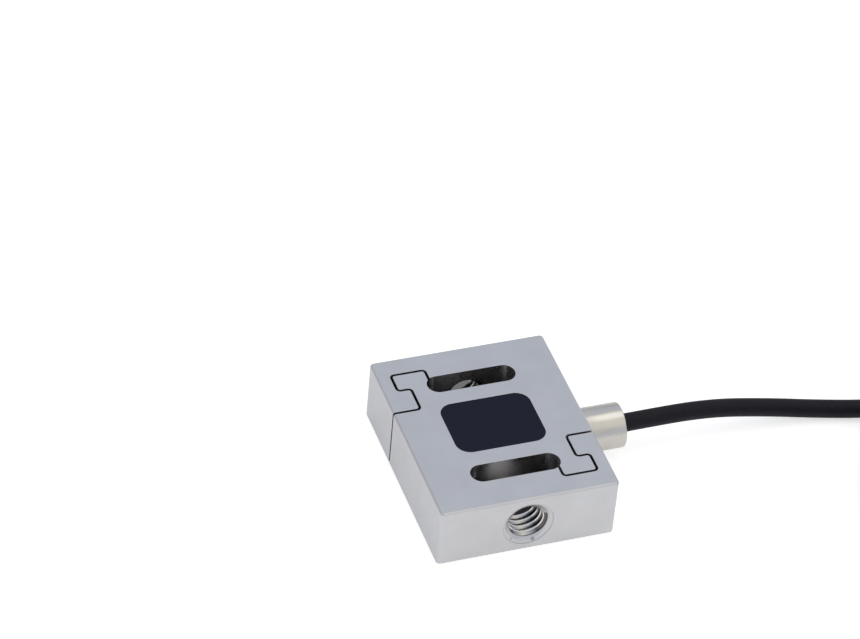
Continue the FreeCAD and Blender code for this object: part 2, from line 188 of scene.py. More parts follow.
class CableSizes(PropertyGroup):
    """Sizes of the cable, its gland, coil, tie and far end."""

    diameter: length_prop("Diameter", "Diameter of the jacket", 1.8)
    length: length_prop("Length", "Whole length of the cable", 1500.0)
    gland_radius: length_prop("Gland radius", "Outer radius of the gland", 2.2)
    gland_bore: length_prop("Gland bore", "Radius of the gland's bore for the jacket", 0.95)
    gland_rounding: length_prop("Gland rounding", "Rounding of the gland's end", 0.12)
    spigot_radius: length_prop("Spigot radius", "Radius of the part pressed into the body", 1.6)
    jacket_end: length_prop("Jacket end", "How far inside the gland's mouth the jacket ends", 4.75)
    core_bore: length_prop("Core bore", "Radius of the gland's bore for the cores", 0.626)
    coil_radius: length_prop("Coil radius", "Middle radius of the coil's turns", 11.1)
    turns_across: IntProperty(
        name="Turns across", description="Turns in each layer of the coil", default=5, min=1)
    layers: IntProperty(name="Layers", description="Layers in the coil", default=4, min=1)
    points_per_turn: IntProperty(
        name="Points per turn", description="Control points in each turn", default=24, min=12)
    tie_width: length_prop("Tie width", "Width of the strap round the coil", 3.0)
    tie_thickness: length_prop("Tie thickness", "Thickness of the strap round the coil", 0.4)
    tie_tab_length: length_prop("Tie tab", "Length of the strap's free end", 6.0)
    lead_diameter: length_prop("Lead diameter", "Diameter of each insulated lead", 0.36)
    shield_diameter: length_prop("Shield diameter", "Diameter of the bare shield wire", 0.3)
    tip_diameter: length_prop("Tip diameter", "Diameter of the tinned tips", 0.22)
    tip_length: length_prop("Tip length", "Length of the tinned tips", 4.0)


class FinishColours(PropertyGroup):
    """Colours of the finishes."""

    steel: colour_prop("Steel", "Satin stainless steel of the body", (0.575, 0.578, 0.595))
    cut_steel: colour_prop("Cut steel", "Dull steel of the gaps and window", (0.36, 0.355, 0.37))
    slot_steel: colour_prop("Slot steel", "Smoother steel of the slots' walls", (0.56, 0.545, 0.555))
    # Thread steel shows at full only on the crests, as a painted highlight; the thread's finish paints
    # shade over the flanks and roots
    thread_steel: colour_prop("Thread steel", "Bright steel of the cut threads", (0.80, 0.785, 0.765))
    nickel: colour_prop("Nickel", "Turned nickel of the gland", (0.58, 0.56, 0.525))
    resin: colour_prop("Resin", "Cast resin of the window seals", (0.004, 0.0065, 0.0195))
    potting: colour_prop("Potting", "Resin round the cores in the gland", (0.02, 0.02, 0.024))
    jacket: colour_prop("Jacket", "Cable jacket", (0.0045, 0.0045, 0.009))
    strap: colour_prop("Strap", "Woven strap round the coil", (0.012, 0.012, 0.013))
    tubing: colour_prop("Tubing", "Heat-shrink tubing at the far end", (0.010, 0.010, 0.011))
    tin: colour_prop("Tin", "Tinned copper wire", (0.66, 0.66, 0.64))
    solder: colour_prop("Solder", "Solder joints", (0.58, 0.58, 0.57))
    copper: colour_prop("Copper", "Bare copper", (0.72, 0.36, 0.20))
    laminate: colour_prop("Laminate", "Terminal board", (0.03, 0.13, 0.06))
    chip: colour_prop("Chip", "Chip resistors", (0.03, 0.03, 0.035))
    film: colour_prop("Film", "Polyimide backing of the gauges", (0.50, 0.21, 0.03))
    foil: colour_prop("Foil", "Constantan foil of the gauges", (0.55, 0.46, 0.36))
    red: colour_prop("Red", "Red insulation", (0.50, 0.02, 0.015))
    black: colour_prop("Black", "Black insulation", (0.012, 0.012, 0.013))
    green: colour_prop("Green", "Green insulation", (0.02, 0.22, 0.05))
    white: colour_prop("White", "White insulation", (0.78, 0.77, 0.73))


# Finishes

def add_node(tree, kind, inputs=(), **settings):
    """Adds a node, gives its inputs patterns or plain values, and hands back its outputs."""
    node = tree.nodes.new("ShaderNode" + kind)
    for setting, value in settings.items():
        setattr(node, setting, value)
    for socket, value in dict(inputs).items():
        if isinstance(value, bpy.types.NodeSocket):
            tree.links.new(value, node.inputs[socket])
        else:
            node.inputs[socket].default_value = value
    return node.outputs


def start_finish(name, metallic=0.0, specular=0.5):
    """A new material, its node tree and the piece's own coordinates."""
    material = bpy.data.materials.new(name)
    material.use_nodes = True
    tree = material.node_tree
    sockets = tree.nodes["Principled BSDF"].inputs
    sockets["Metallic"].default_value = metallic
    sockets["Specular IOR Level"].default_value = specular
    return material, tree, add_node(tree, "TexCoord")["Object"]


def end_finish(material, colour, roughness, relief):
    """Links three patterns to a material's shader."""
    tree = material.node_tree
    sockets = tree.nodes["Principled BSDF"].inputs
    tree.links.new(colour, sockets["Base Color"])
    tree.links.new(roughness, sockets["Roughness"])
    tree.links.new(relief, sockets["Normal"])
    return material


def compute(tree, operation, *values):
    """One step of arithmetic on patterns or plain numbers."""
    return add_node(tree, "Math", enumerate(values), operation=operation)["Value"]


def distance_from(tree, place, centre):
    """How far the coordinates are from a point."""
    return add_node(tree, "VectorMath", {0: place, 1: centre}, operation="DISTANCE")["Value"]


def scaled(tree, colour, amount):
    """A colour times a pattern."""
    return add_node(tree, "VectorMath", {0: colour, "Scale": amount}, operation="SCALE")["Vector"]


def stretched(tree, place, scale):
    """The coordinates, stretched by a factor along each axis."""
    return add_node(tree, "Mapping", {"Vector": place, "Scale": scale})["Vector"]


def grain(tree, place, per_mm, detail=3.0):
    """A noise pattern with so many grains in a millimetre."""
    return add_node(tree, "TexNoise", {"Vector": place, "Scale": per_mm / MM, "Detail": detail})["Fac"]


def bands(tree, place, per_mm, axis, wobble):
    """A pattern of fine bands across an axis, as a lathe or a loom leaves them."""
    inputs = {"Vector": place, "Scale": per_mm / MM, "Distortion": wobble, "Detail": 2.0}
    return add_node(tree, "TexWave", inputs, bands_direction=axis)["Fac"]


def mapped(tree, value, results, reach=PATTERN_RANGE, blend="LINEAR"):
    """A number that runs from one result to the other as a value goes through its reach."""
    return add_node(tree, "MapRange", {
        "Value": value, "From Min": reach[0], "From Max": reach[1],
        "To Min": results[0], "To Max": results[1]}, interpolation_type=blend)["Result"]


def ramp(tree, pattern, stops):
    """Colours at places along a pattern, blended between them."""
    colour = add_node(tree, "ValToRGB", {"Fac": pattern})["Color"]
    marks = colour.node.color_ramp.elements
    marks[0].position, marks[1].position = stops[0][0], stops[-1][0]
    for position, tone in stops[1:-1]:
        marks.new(position)
    for mark, (position, tone) in zip(marks, stops):
        mark.color = (*tone, 1)
    return colour


def tinted(tree, pattern, colour, spread):
    """A colour that runs from darker to lighter with a pattern."""
    tones = [[channel * share for channel in colour] for share in (1 - spread, 1 + spread)]
    return ramp(tree, pattern, list(zip(PATTERN_RANGE, tones)))


def emboss(tree, pattern, depth, under=None):
    """Raises a pattern by a depth in millimetres, over another relief if there is one."""
    inputs = {"Strength": 1.0, "Distance": depth * MM, "Height": pattern}
    if under is not None:
        inputs["Normal"] = under
    return add_node(tree, "Bump", inputs)["Normal"]


# Name of the colour, its spread, roughness, grains in a millimetre and their depth in millimetres of
# each finish that has one grain, then its metallic and specular level where they aren't usual
GRAINY = {
    "bare_copper": ("copper", 0.08, (0.25, 0.4), 6.0, 0.002, 1.0),
    "cable_jacket": ("jacket", 0.12, (0.5, 0.6), 4.0, 0.004, 0.0, 0.22),
    "cast_resin": ("resin", 0.2, (0.6, 0.75), 2.5, 0.004, 0.0, 0.2),
    "dipped_tin": ("tin", 0.08, (0.26, 0.36), 8.0, 0.006, 1.0),
    "gauge_film": ("film", 0.1, (0.35, 0.5), 3.0, 0.002),
    "gauge_foil": ("foil", 0.06, (0.25, 0.35), 10.0, 0.001, 1.0),
    "laminate": ("laminate", 0.2, (0.4, 0.6), 5.0, 0.004),
    "potting_resin": ("potting", 0.2, (0.3, 0.5), 2.0, 0.01),
    "resistor_chip": ("chip", 0.2, (0.4, 0.6), 6.0, 0.003),
    "shrink_tubing": ("tubing", 0.15, (0.42, 0.55), 3.0, 0.01),
    "slot_steel": ("slot_steel", 0.05, (0.26, 0.32), 1.2, 0.0008, 1.0),
    "solder": ("solder", 0.08, (0.2, 0.35), 3.0, 0.006, 1.0),
    "wire_cut_steel": ("cut_steel", 0.15, (0.32, 0.45), 12.0, 0.003, 1.0),
}
GRAINY.update({covering + colour: (colour, 0.06, (0.36, 0.46), 5.0, 0.002)
               for covering in ("insulation_", "core_insulation_") for colour in LEAD_ROUTES})


def grainy_finish(colours, name):
    """A finish with one grain in its colour, its gloss and its relief."""
    colour, spread, roughness, per_mm, depth, *shine = GRAINY[name]
    material, tree, place = start_finish(name, *shine)
    pattern = grain(tree, place, per_mm)
    return end_finish(material, tinted(tree, pattern, getattr(colours, colour), spread),
                      mapped(tree, pattern, roughness), emboss(tree, pattern, depth))


def satin_steel(colours):
    """Fine-blasted stainless steel with faint clouds and a trace of grinding lines."""
    material, tree, place = start_finish("satin_steel", metallic=1.0)
    clouds = grain(tree, place, 0.35, 4.0)
    speckle = grain(tree, place, 14.0)
    lines = grain(tree, stretched(tree, place, (0.03, 1.0, 1.0)), 9.0)
    relief = emboss(tree, speckle, 0.0012, emboss(tree, lines, 0.0006))
    return end_finish(material, tinted(tree, clouds, colours.steel, 0.03),
                      mapped(tree, speckle, (0.34, 0.44)), relief)


def turned_nickel(colours):
    """Nickel plate over fine turning marks."""
    material, tree, place = start_finish("turned_nickel", metallic=1.0)
    marks = bands(tree, place, 1.5, "X", 0.15)
    clouds = grain(tree, place, 0.5, 1.0)
    return end_finish(material, tinted(tree, clouds, colours.nickel, 0.03),
                      mapped(tree, clouds, (0.24, 0.30)), emboss(tree, marks, 0.0004))


def steel_with_painted_shade_and_chips(name, colour, roughness, shades, chips=(), painted_highlight=None):
    """Cut steel whose colour is painted darker away from the tapped holes' axis as painted shade, with
    dark chips at some places and a painted highlight band along the holes. The shades are pairs of
    distance in millimetres and share of the colour."""
    material, tree, place = start_finish(name, metallic=1.0)
    across = stretched(tree, place, (1, 0, 1))
    reach = shades[-1][0]
    # Painted shade and highlight: the colour's share falls with distance from the holes' axis
    level = compute(tree, "DIVIDE", distance_from(tree, across, AXIS_HEIGHT * UP), reach * MM)
    shade = ramp(tree, level, [(distance / reach, [share] * 3) for distance, share in shades])
    # A painted highlight, lighter round a line along the holes
    if painted_highlight:
        centre, radius, share = painted_highlight
        away = compute(tree, "DIVIDE", distance_from(tree, across, centre), radius)
        shade = compute(tree, "MAXIMUM", shade, compute(tree, "MULTIPLY_ADD", away, -share, share))
    for centre, radius in chips:
        away = compute(tree, "DIVIDE", distance_from(tree, place, centre), radius)
        chip = compute(tree, "MULTIPLY_ADD", away, 1 - CHIP_SHADE, CHIP_SHADE)
        shade = compute(tree, "MULTIPLY", shade, compute(tree, "MINIMUM", chip, 1.0))
    scores = grain(tree, stretched(tree, place, (0.2, 1, 0.2)), 6.0)
    return end_finish(material, scaled(tree, colour, shade),
                      mapped(tree, scores, roughness), emboss(tree, scores, 0.0004))


def twisted_strands(colours):
    """Tinned strands, laid as a rope along a wire's own coordinates."""
    material, tree, place = start_finish("twisted_strands", metallic=1.0)
    along = stretched(tree, add_node(tree, "TexCoord")["UV"], (14.0, 3.0, 1.0))
    lay = add_node(tree, "TexWave", {"Vector": along, "Scale": 1.0}, bands_direction="DIAGONAL")["Fac"]
    gloss = mapped(tree, grain(tree, place, 6.0), (0.3, 0.4))
    return end_finish(material, tinted(tree, lay, colours.tin, 0.12), gloss, emboss(tree, lay, 0.03))


def woven_strap(colours):
    """A coarse weave of two crossing ribs."""
    material, tree, place = start_finish("woven_strap", specular=0.3)
    warp = bands(tree, place, 0.9, "Y", 0.6)
    weft = bands(tree, place, 0.6, "DIAGONAL", 1.0)
    gloss = mapped(tree, grain(tree, place, 6.0), (0.75, 0.95))
    return end_finish(material, tinted(tree, warp, colours.strap, 0.25), gloss,
                      emboss(tree, warp, 0.05, emboss(tree, weft, 0.03)))


# Modelling

def deselect():
    """Leaves edit mode with nothing selected."""
    if bpy.context.object and bpy.context.object.mode != "OBJECT":
        bpy.ops.object.mode_set(mode="OBJECT")
    bpy.ops.object.select_all(action="DESELECT")


def make_active(piece):
    """Selects one piece alone and makes it the one that operators act on."""
    deselect()
    piece.select_set(True)
    bpy.context.view_layer.objects.active = piece


def settle(name):
    """Names the primitive just added and moves its place into its mesh."""
    piece = bpy.context.object
    bpy.ops.object.transform_apply(location=True, rotation=True, scale=True)
    piece.name = name
    piece.data.name = name
    return piece


def edit_all(piece):
    """Goes into edit mode with all of a piece selected."""
    make_active(piece)
    bpy.context.tool_settings.mesh_select_mode = (True, False, False)
    bpy.ops.object.mode_set(mode="EDIT")
    bpy.ops.mesh.select_all(action="SELECT")


def pick(piece, kind, test):
    """Goes into edit mode with the vertices, edges or faces selected that pass a test.
    The test gets an item's place, and a face's or vertex's normal or an edge's direction."""
    make_active(piece)
    bpy.context.tool_settings.mesh_select_mode = [kind == name for name in ("VERT", "EDGE", "FACE")]
    mesh = piece.data
    for items in (mesh.vertices, mesh.edges, mesh.polygons):
        items.foreach_set("select", [False] * len(items))
    if kind == "VERT":
        for vertex in mesh.vertices:
            vertex.select = test(vertex.co, vertex.normal)
    elif kind == "EDGE":
        for edge in mesh.edges:
            first, second = (mesh.vertices[index].co for index in edge.vertices)
            edge.select = test((first + second) / 2, (second - first).normalized())
    else:
        for face in mesh.polygons:
            face.select = test(face.center, face.normal)
    bpy.ops.object.mode_set(mode="EDIT")


def bevel(piece, width, segments, test):
    """Rounds or breaks the edges that pass a test."""
    pick(piece, "EDGE", test)
    bpy.ops.mesh.bevel(offset=width, segments=segments, affect="EDGES")
    deselect()


def extrude(way):
    """Draws out what is selected."""
    bpy.ops.mesh.extrude_region_move(TRANSFORM_OT_translate={"value": way})


def apply_modifier(piece, kind, **settings):
    """Adds a modifier with these settings and applies it."""
    make_active(piece)
    modifier = piece.modifiers.new(kind.title(), kind)
    for setting, value in settings.items():
        setattr(modifier, setting, value)
    bpy.ops.object.modifier_apply(modifier=modifier.name)


def cut(piece, *tools):
    """Takes the shape of each tool out of a piece, and deletes the tool."""
    for tool in tools:
        apply_modifier(piece, "BOOLEAN", operation="DIFFERENCE", solver="EXACT", object=tool)
        bpy.data.meshes.remove(tool.data)


def join(pieces):
    """Makes one piece of several."""
    make_active(pieces[0])
    for piece in pieces[1:]:
        piece.select_set(True)
    bpy.ops.object.join()
    return pieces[0]


def tidy_mesh(piece):
    """Merges doubled points and turns every face outwards."""
    edit_all(piece)
    bpy.ops.mesh.remove_doubles(threshold=MERGED)
    bpy.ops.mesh.normals_make_consistent(inside=False)
    deselect()


def smooth(piece, degrees):
    """Shades a piece smooth except over edges sharper than an angle."""
    make_active(piece)
    bpy.ops.object.shade_smooth_by_angle(angle=math.radians(degrees))


def smooth_flat(piece):
    """Shades a piece smooth and keeps its large faces flat."""
    smooth(piece, 40)
    apply_modifier(piece, "WEIGHTED_NORMAL", mode="FACE_AREA", keep_sharp=True)


def soften(piece, width):
    """Rounds the sharp edges a little."""
    apply_modifier(piece, "BEVEL", width=width, segments=2, limit_method="ANGLE",
                   angle_limit=math.radians(38), harden_normals=False)
    smooth_flat(piece)


def dress(piece, material):
    """Gives a piece its one finish."""
    piece.data.materials.clear()
    piece.data.materials.append(material)


def dress_faces(piece, material, test):
    """Gives the faces that pass a test another finish."""
    piece.data.materials.append(material)
    pick(piece, "FACE", test)
    piece.active_material_index = len(piece.data.materials) - 1
    bpy.ops.object.material_slot_assign()
    deselect()


def place_piece(piece, slot, material, *nodes):
    """Gives a piece its finish and its body, and hides the solids that it stands for."""
    dress(piece, material)
    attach(piece, "root")
    if nodes:
        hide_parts(*nodes)


def add_object(name, data):
    """Puts a curve, a camera or a lamp into the scene."""
    item = bpy.data.objects.new(name, data)
    bpy.context.scene.collection.objects.link(item)
    return item


def add_block(name, low, high):
    """A box between two corners."""
    deselect()
    bpy.ops.mesh.primitive_cube_add(size=1, location=(low + high) / 2, scale=high - low)
    return settle(name)


def add_round(start, end, radius, end_radius=None, sides=96):
    """A straight round tool from one point to another, or a cone if its end has another radius."""
    deselect()
    run = end - start
    bpy.ops.mesh.primitive_cone_add(
        vertices=sides, radius1=radius, radius2=radius if end_radius is None else end_radius,
        depth=run.length, location=(start + end) / 2, rotation=run.to_track_quat("Z", "Y").to_euler())
    return settle("tool")


def add_rounded_block(name, low, high, corner):
    """A box with its upright edges rounded."""
    piece = add_block(name, low, high)
    bevel(piece, corner, 12, lambda place, along: abs(along.z) > ALONG)
    return piece


def add_obround(bottom, height, length, width):
    """An upright tool with round ends, lengthwise along X."""
    piece = add_round(bottom, bottom + height * UP, width / 2)
    stretch = (length - width) / 2 * AHEAD
    for side in (1, -1):
        pick(piece, "VERT", lambda place, normal: side * (place.x - bottom.x) > SAME_PLACE)
        bpy.ops.transform.translate(value=side * stretch)
    deselect()
    return piece


def add_gap_cutter(route, height, width, corner):
    """An upright tool along a route, as wide as the cut that a wire leaves."""
    deselect()
    bpy.ops.mesh.primitive_plane_add(size=width, location=route[0])
    piece = settle("tool")
    edit_all(piece)
    bpy.ops.mesh.merge(type="CENTER")
    for here, there in zip(route, route[1:]):
        extrude(there - here)
    bpy.ops.mesh.select_all(action="SELECT")
    extrude(height * UP)
    ends = [route[0].to_2d(), route[-1].to_2d()]
    bevel(piece, corner, 6, lambda place, along: abs(along.z) > ALONG
          and min((place.to_2d() - end).length for end in ends) > SAME_PLACE)
    apply_modifier(piece, "SOLIDIFY", thickness=width, offset=0, use_even_offset=True)
    tidy_mesh(piece)
    return piece


def add_turned(name, start, axis, profile, sides=64):
    """A turned skin: a ring of the profile's first radius, drawn along an axis through the others.
    The profile is pairs of distance along the axis and radius."""
    deselect()
    distance, radius = profile[0]
    bpy.ops.mesh.primitive_circle_add(vertices=sides, radius=radius, location=start + distance * axis,
                                      rotation=axis.to_track_quat("Z", "Y").to_euler())
    piece = settle(name)
    edit_all(piece)
    for (here, wide), (there, narrow) in zip(profile, profile[1:]):
        extrude((there - here) * axis)
        bpy.ops.transform.resize(value=[narrow / wide] * 3, center_override=start + there * axis)
    deselect()
    return piece


def close_ends(piece):
    """Puts a face over each open end."""
    edit_all(piece)
    bpy.ops.mesh.fill_holes(sides=0)
    tidy_mesh(piece)


def add_line(name, points, diameter):
    """A round line along a smooth spline with these control points."""
    curve = bpy.data.curves.new(name, "CURVE")
    curve.dimensions = "3D"
    curve.bevel_depth = diameter / 2
    curve.bevel_resolution = 8
    curve.resolution_u = 6
    curve.use_fill_caps = True
    spline = curve.splines.new("NURBS")
    spline.points.add(len(points) - 1)
    for control, place in zip(spline.points, points):
        control.co = (*place, 1)
    spline.order_u = 3
    spline.use_endpoint_u = True
    return add_object(name, curve)


# Routes, as the solids have them

def in_metres(start, offsets):
    """Points at offsets in millimetres from a start."""
    return [start + Vector(offset) * MM for offset in offsets]


def cable_route(cable):
    """The cable's points from inside the gland to the coil's first turn."""
    on_floor = (cable.diameter / 2 - GLAND_MOUTH.z) / MM
    return in_metres(GLAND_MOUTH, (
        (-4.75, 0, 0), (2.2, 0.08, 0.08), (9.3, 0.3, -0.2), (15.5, 0.25, -1.45),
        (20.5, -0.3, on_floor), (25.5, -1.6, on_floor), (30.8, -2.2, on_floor)))


def tail_route():
    """The cable's points from the coil's last turn to the sleeve."""
    return in_metres(COIL_CENTRE, (
        (10.5, 14.2, 6.1), (16.9, 5.6, 4.9), (16.6, -5.8, 3.3), (10.4, -14.3, 1.9),
        (0.2, -17.2, 1.15), (-9.0, -17.3, 1.15), (-17.0, -17.3, 1.15)))


def turn_place(cable, turn):
    """Radius and height of one turn: layers are wound inwards and outwards by turns."""
    layer, index = divmod(turn, cable.turns_across)
    if layer % 2 == 0:
        index = cable.turns_across - 1 - index
    radius = cable.coil_radius + (index - (cable.turns_across - 1) / 2) * cable.diameter
    return radius, (layer + 0.5) * cable.diameter


def ease(amount):
    """A smooth step from 0 to 1."""
    amount = min(max(amount, 0.0), 1.0)
    return amount * amount * (3 - 2 * amount)


def coil_points(cable):
    """Control points of the coil, wound clockwise from its far side. Each turn keeps its radius and
    crosses to the next over its last fifth, and the tie draws them in."""
    turns = cable.turns_across * cable.layers
    steps = cable.points_per_turn
    half_width = cable.turns_across * cable.diameter / 2
    half_height = cable.layers * cable.diameter / 2
    swell = 1 / math.cos(math.pi / steps)
    last_fifth, tie_place, tie_reach, tie_fade = 0.8, 0.75, 0.16, 0.1
    points = []
    for step in range(turns * steps + 1):
        turn = min(step // steps, turns - 1)
        part = step / steps - turn
        radius, height = turn_place(cable, turn)
        if turn + 1 < turns:
            next_radius, next_height = turn_place(cable, turn + 1)
            crossing = ease((part - last_fifth) / (1 - last_fifth))
            radius += (next_radius - radius) * crossing
            height += (next_height - height) * crossing
        drawn = cable.tie_thickness * ease((tie_reach - abs(part - tie_place)) / tie_fade)
        radius -= (radius - cable.coil_radius) * drawn / half_width
        height -= (height - half_height) * drawn / half_height
        angle = math.radians(90) - math.tau * part
        spoke = Vector((math.cos(angle), math.sin(angle), 0))
        points.append(COIL_CENTRE + radius * swell * spoke + height * UP)
    return points


def lead_points(offset, route, diameter):
    """A lead's points: from the jacket's end, out of the sleeve side by side, then down and apart."""
    start = JACKET_STOP + Vector((0, *offset))
    parting = start - 6.0 * MM * AHEAD
    floor = [Vector((JACKET_STOP.x + along * MM, JACKET_STOP.y + across * MM, diameter / 2))
             for along, across in route]
    return [start, parting, *floor]


# Operators

class LOADCELL_OT_stage(Operator):
    """Camera, floor and soft studio light"""

    bl_idname = "loadcell.stage"
    bl_label = "Stage"

    def execute(self, context):
        stage = context.scene.loadcell_stage
        context.scene.camera = self.add_camera(stage)
        self.add_floor(stage)
        self.add_lamp(stage)
        context.scene.world = self.add_world(stage)
        context.scene.view_settings.view_transform = "Standard"
        return {"FINISHED"}

    def add_camera(self, stage):
        camera = bpy.data.cameras.new("camera")
        camera.lens = stage.camera_lens
        camera.sensor_width = 36.0
        camera.clip_start = 0.01
        holder = add_object("camera", camera)
        holder.location = stage.camera_place
        holder.rotation_euler = stage.camera_turn
        return holder

    def add_floor(self, stage):
        """A pale floor, lightened to white where it is seen and a little where it is mirrored."""
        deselect()
        bpy.ops.mesh.primitive_plane_add(size=stage.floor_size, location=-FLOOR_DROP * UP)
        floor = settle("floor")
        material = bpy.data.materials.new("pale_floor")
        material.use_nodes = True
        tree = material.node_tree
        tree.nodes.clear()
        axes = add_node(tree, "SeparateXYZ", {"Vector": add_node(tree, "TexCoord")["Object"]})
        opening = self.open_floor(tree, axes)
        light = compute(tree, "MULTIPLY_ADD", opening, 1 - SHADE_LIGHT, SHADE_LIGHT)
        paint = add_node(tree, "BsdfDiffuse", {"Color": scaled(tree, stage.floor_colour, light)})
        rays = add_node(tree, "LightPath")
        mirrored = compute(tree, "MAXIMUM", rays["Is Glossy Ray"], rays["Is Transmission Ray"])
        glows = (stage.mirror_glow, GLOW_AT_BACK * stage.mirror_glow)
        level = mapped(tree, axes["Y"], glows, (BODY_LOW.y, 2 * BODY_HIGH.y))
        level = compute(tree, "MULTIPLY", mirrored, level)
        level = compute(tree, "MULTIPLY_ADD", rays["Is Camera Ray"], stage.floor_glow, level)
        glow = add_node(tree, "Emission", {"Strength": compute(tree, "MULTIPLY", level, opening)})
        both = add_node(tree, "AddShader", {0: paint["BSDF"], 1: glow["Emission"]})
        add_node(tree, "OutputMaterial", {"Surface": both["Shader"]})
        dress(floor, material)

    def open_floor(self, tree, axes):
        """1 on open floor, 0 under the body where shade is painted, and between them in the painted soft
        shadow behind it.
        """
        beyond = [compute(tree, "SUBTRACT", compute(tree, "ABSOLUTE", axes[axis]), edge - SHADE_INSET)
                  for axis, edge in (("X", BODY_HIGH.x), ("Y", BODY_HIGH.y))]
        outside = compute(tree, "GREATER_THAN", compute(tree, "MAXIMUM", *beyond), 0.0)
        behind = compute(tree, "SUBTRACT", axes["Y"], BODY_HIGH.y)
        leaning = compute(tree, "MULTIPLY_ADD", behind, -SHADOW_LEAN, axes["X"])
        aside = compute(tree, "ABSOLUTE", leaning)
        shadow = compute(tree, "MULTIPLY", mapped(tree, behind, (1, 0), SHADOW_FADE, "SMOOTHSTEP"),
                         mapped(tree, aside, (1, 0), SHADOW_SIDES, "SMOOTHSTEP"))
        shadow = compute(tree, "MULTIPLY", shadow, compute(tree, "GREATER_THAN", behind, -SHADE_INSET))
        lit = compute(tree, "MULTIPLY_ADD", shadow, -SHADOW_DEPTH, 1.0)
        return compute(tree, "MINIMUM", outside, lit)

    def add_lamp(self, stage):
        lamp = bpy.data.lights.new("soft_lamp", "AREA")
        lamp.size = stage.lamp_size
        lamp.energy = stage.lamp_power
        holder = add_object("soft_lamp", lamp)
        way = Vector(stage.lamp_way)
        holder.location = GLAND_MOUTH + LAMP_DISTANCE * way
        holder.rotation_euler = way.to_track_quat("Z", "Y").to_euler()

    def add_world(self, stage):
        """A studio that is brightest one way, and plain white where it is seen."""
        world = bpy.data.worlds.new("studio")
        world.use_nodes = True
        tree = world.node_tree
        tree.nodes.clear()
        way = Vector(stage.studio_way).normalized()
        nearness = add_node(tree, "VectorMath", {0: add_node(tree, "TexCoord")["Generated"], 1: way},
                            operation="DOT_PRODUCT")["Value"]
        light = ramp(tree, nearness, (
            (0.05, stage.dim_colour), (0.46, stage.wall_colour), (0.73, stage.upper_colour),
            (0.87, stage.canopy_colour), (1.0, stage.ceiling_colour)))
        studio = add_node(tree, "Background", {"Color": light})
        backdrop = add_node(tree, "Background", {"Color": (1, 1, 1, 1)})
        mix = add_node(tree, "MixShader", {
            "Fac": add_node(tree, "LightPath")["Is Camera Ray"],
            1: studio["Background"], 2: backdrop["Background"]})
        add_node(tree, "OutputWorld", {"Surface": mix["Shader"]})
        return world


class LOADCELL_OT_far_end(Operator):
    """Sleeve, flying leads, shield wire and tinned tips at the cable's far end"""

    bl_idname = "loadcell.far_end"
    bl_label = "Far end of the cable"

    def execute(self, context):
        cable = context.scene.loadcell_cable
        colours = context.scene.loadcell_finish
        self.add_sleeve(colours)
        tips = []
        for colour, (side, route) in LEAD_ROUTES.items():
            points = lead_points([sign * LEAD_SPREAD for sign in side], route, cable.lead_diameter)
            lead = add_line("lead_wire_" + colour, points, cable.lead_diameter)
            finish = "insulation_" + colour
            place_piece(lead, finish, grainy_finish(colours, finish), "lead_" + colour)
            tips.append(self.add_tip(cable, points))
        ends = join(tips)
        ends.name = "tinned_tips"
        smooth(ends, 50)
        place_piece(ends, "tinned_copper", grainy_finish(colours, "dipped_tin"), "lead_tips")
        thickness = cable.shield_diameter
        shield = add_line("shield_strands", lead_points((0, 0), SHIELD_ROUTE, thickness), thickness)
        place_piece(shield, "tinned_copper", twisted_strands(colours), "shield_wire")
        return {"FINISHED"}

    def add_sleeve(self, colours):
        """A shrunk sleeve: drawn in over the jacket at one end, open round the leads at the other."""
        length = SLEEVE_HIGH.x - SLEEVE_LOW.x
        outer = (SLEEVE_HIGH.z - SLEEVE_LOW.z) / 2
        inner = outer - 0.2 * MM
        start = Vector((SLEEVE_HIGH.x, SLEEVE_MIDDLE.y, SLEEVE_MIDDLE.z))
        profile = (
            (0.0, inner), (0.0, inner + 0.1 * MM), (0.25 * MM, outer),
            (0.5 * length - 0.5 * MM, outer), (0.5 * length + 0.5 * MM, outer - 0.04 * MM),
            (length - 0.3 * MM, outer - 0.05 * MM), (length, outer - 0.1 * MM),
            (length, inner - 0.06 * MM), (length - 1.5 * MM, inner - 0.08 * MM),
            (length - 1.5 * MM, 0.1 * MM))
        sleeve = add_turned("shrink_sleeve", start, -AHEAD, profile)
        close_ends(sleeve)
        smooth(sleeve, 50)
        place_piece(sleeve, "sleeve_tubing", grainy_finish(colours, "shrink_tubing"), "tail_sleeve")

    def add_tip(self, cable, points):
        """A tinned wire end in line with its lead."""
        axis = (points[-1] - points[-2]).normalized()
        radius = cable.tip_diameter / 2
        length = cable.tip_length
        profile = ((-0.5 * MM, radius), (0.6 * length, radius), (0.9 * length, 0.96 * radius),
                   (0.98 * length, 0.8 * radius), (length, 0.45 * radius))
        tip = add_turned("tip", points[-1], axis, profile, sides=16)
        close_ends(tip)
        return tip


class LOADCELL_OT_coil_tie(Operator):
    """Woven strap that holds the coil"""

    bl_idname = "loadcell.coil_tie"
    bl_label = "Coil tie"

    def execute(self, context):
        cable = context.scene.loadcell_cable
        colours = context.scene.loadcell_finish
        half_width = cable.turns_across * cable.diameter / 2
        height = cable.layers * cable.diameter
        middle = COIL_CENTRE - cable.coil_radius * AHEAD
        reach = Vector((half_width, cable.tie_width / 2, 0))
        strap = add_block("tie_strap", middle - reach, middle + reach + height * UP)
        bevel(strap, cable.diameter / 2, 8, lambda place, along: abs(along.y) > ALONG)
        pick(strap, "FACE", lambda place, normal: abs(normal.y) > ALONG)
        bpy.ops.mesh.delete(type="FACE")
        apply_modifier(strap, "SOLIDIFY", thickness=cable.tie_thickness, offset=-1, use_even_offset=True)
        reach = Vector((cable.tie_tab_length / 2, cable.tie_width / 2, 0))
        top = middle + height * UP
        tab = add_rounded_block("tie_tab", top - reach, top + reach + cable.tie_thickness * UP, 0.5 * MM)
        soften(join((strap, tab)), 0.08 * MM)
        place_piece(strap, "tie_nylon", woven_strap(colours), "coil_tie")
        return {"FINISHED"}


